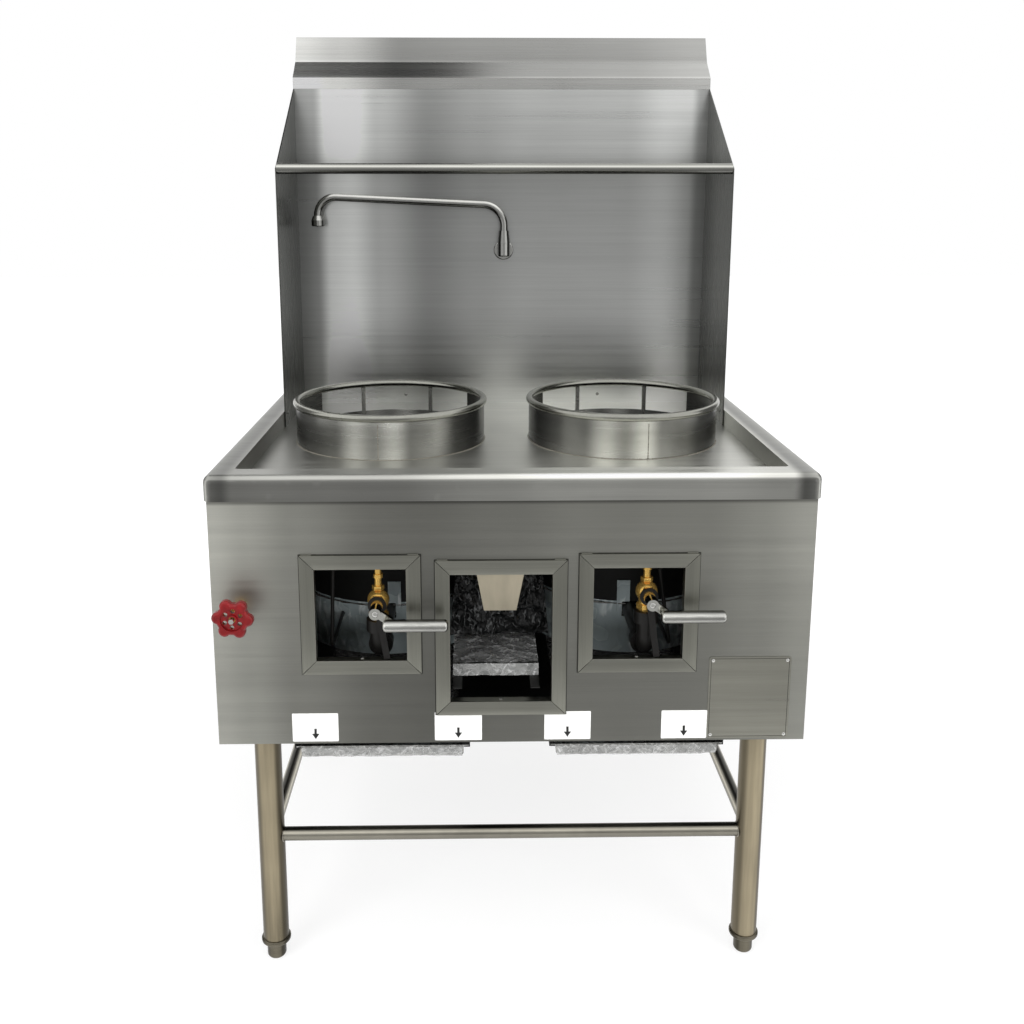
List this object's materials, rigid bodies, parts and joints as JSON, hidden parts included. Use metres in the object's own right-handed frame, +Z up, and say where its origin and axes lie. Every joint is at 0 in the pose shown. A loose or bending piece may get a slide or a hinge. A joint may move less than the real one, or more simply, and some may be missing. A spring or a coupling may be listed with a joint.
{
  "type": "wok range",
  "caption": "Free-standing gas wok range with splash guard, wok rings, swing water spout, knee levers, drip trays and adjustable tubular legs.",
  "frame": {"origin": "on the floor, under the middle of the object's bounding box", "axes": "+Z up, +X to the cook's right, +Y away from the cook towards the backguard"},
  "size_m": [0.914, 0.828, 1.56],
  "materials": {
    "stainless_top": "brushed along its length",
    "stainless_body": "fine brushed, mid grey",
    "stainless_tube": "drawn tube, warm grey",
    "stainless_bright": "bright rolled",
    "chrome_plate": "polished",
    "valve_brass": "turned, slightly dull",
    "black_pipe": "satin black",
    "burner_iron": "rough cast",
    "chamber_black": "heat-resisting black",
    "red_enamel": "glossy red",
    "mill_steel": "plain mill finish",
    "wrapped_steel": "bright under clear film"
  },
  "bodies": {
    "range_body": {"deck_top": "stainless_top", "front_panel": "stainless_body", "left_window_frame": "stainless_body", "centre_window_frame": "stainless_body", "right_window_frame": "stainless_body", "left_side_panel": "stainless_body", "right_side_panel": "stainless_body", "rear_panel": "chamber_black", "base_pan": "chamber_black", "back_splash": "stainless_top", "left_shield": "stainless_top", "right_shield": "stainless_top", "flue_riser": "stainless_top", "flue_cap": "stainless_top", "utensil_rail": "stainless_bright", "left_ring_wall": "stainless_bright", "right_ring_wall": "stainless_bright", "left_ring_rim": "stainless_bright", "right_ring_rim": "stainless_bright", "left_chamber": "chamber_black", "right_chamber": "chamber_black", "burner_skirts": "wrapped_steel", "left_burner": "burner_iron", "right_burner": "burner_iron", "burner_tips": "valve_brass", "gas_manifold": "black_pipe", "left_gas_valve": "valve_brass", "right_gas_valve": "valve_brass", "left_burner_pipe": "black_pipe", "right_burner_pipe": "black_pipe", "pilot_lines": "black_pipe", "valve_straps": "chrome_plate", "water_valve": "valve_brass", "water_pipes": "mill_steel", "spout_flange": "chrome_plate", "tray_runners": "mill_steel", "drain_chute": "mill_steel", "legs": "stainless_tube", "leg_inserts": "stainless_tube", "leg_stretchers": "stainless_tube", "rating_plate": "stainless_body", "panel_fasteners": "stainless_body"},
    "left_knee_lever": {"left_lever_hub": "chrome_plate", "left_lever_bar": "stainless_bright"},
    "right_knee_lever": {"right_lever_hub": "chrome_plate", "right_lever_bar": "stainless_bright"},
    "water_handwheel": {"handwheel": "red_enamel", "handwheel_stem": "chrome_plate", "handwheel_nut": "chrome_plate"},
    "swing_spout": {"spout_collar": "chrome_plate", "spout_tube": "chrome_plate", "spout_nozzle": "chrome_plate"},
    "left_drip_tray_drawer": {"left_drip_tray": "wrapped_steel"},
    "right_drip_tray_drawer": {"right_drip_tray": "wrapped_steel"},
    "scrap_tray_drawer": {"scrap_tray": "wrapped_steel"},
    "drain_strainer_cover": {"drain_strainer": "mill_steel"},
    "front_left_foot_screw": {"front_left_foot": "stainless_tube"},
    "rear_left_foot_screw": {"rear_left_foot": "stainless_tube"},
    "front_right_foot_screw": {"front_right_foot": "stainless_tube"},
    "rear_right_foot_screw": {"rear_right_foot": "stainless_tube"}
  },
  "joints": [
    {"name": "left_knee_lever_turn", "type": "hinge", "parent": "range_body", "child": "left_knee_lever", "pos_m": [-0.2065, -0.376, 0.637], "axis": [0, 1, 0], "range_deg": [0, 90]},
    {"name": "right_knee_lever_turn", "type": "hinge", "parent": "range_body", "child": "right_knee_lever", "pos_m": [0.2065, -0.376, 0.648], "axis": [0, 1, 0], "range_deg": [0, 90]},
    {"name": "water_handwheel_turn", "type": "hinge", "parent": "range_body", "child": "water_handwheel", "pos_m": [-0.4145, -0.376, 0.6354], "axis": [0, -1, 0], "range_deg": [0, 810]},
    {"name": "spout_swing", "type": "hinge", "parent": "range_body", "child": "swing_spout", "pos_m": [0.003, 0.289, 1.15], "axis": [0, 0, 1], "range_deg": [0, 180]},
    {"name": "left_drip_tray_slide", "type": "slide", "parent": "range_body", "child": "left_drip_tray_drawer", "axis": [0, -1, 0], "range_m": [0, 0.4]},
    {"name": "right_drip_tray_slide", "type": "slide", "parent": "range_body", "child": "right_drip_tray_drawer", "axis": [0, -1, 0], "range_m": [0, 0.4]},
    {"name": "scrap_tray_slide", "type": "slide", "parent": "range_body", "child": "scrap_tray_drawer", "axis": [0, -1, 0], "range_m": [0, 0.17]},
    {"name": "drain_strainer_lift", "type": "slide", "parent": "range_body", "child": "drain_strainer_cover", "axis": [0, 0, 1], "range_m": [0, 0.1]},
    {"name": "front_left_foot_adjust", "type": "slide", "parent": "range_body", "child": "front_left_foot_screw", "axis": [0, 0, -1], "range_m": [0, 0.025]},
    {"name": "rear_left_foot_adjust", "type": "slide", "parent": "range_body", "child": "rear_left_foot_screw", "axis": [0, 0, -1], "range_m": [0, 0.025]},
    {"name": "front_right_foot_adjust", "type": "slide", "parent": "range_body", "child": "front_right_foot_screw", "axis": [0, 0, -1], "range_m": [0, 0.025]},
    {"name": "rear_right_foot_adjust", "type": "slide", "parent": "range_body", "child": "rear_right_foot_screw", "axis": [0, 0, -1], "range_m": [0, 0.025]}
  ]
}
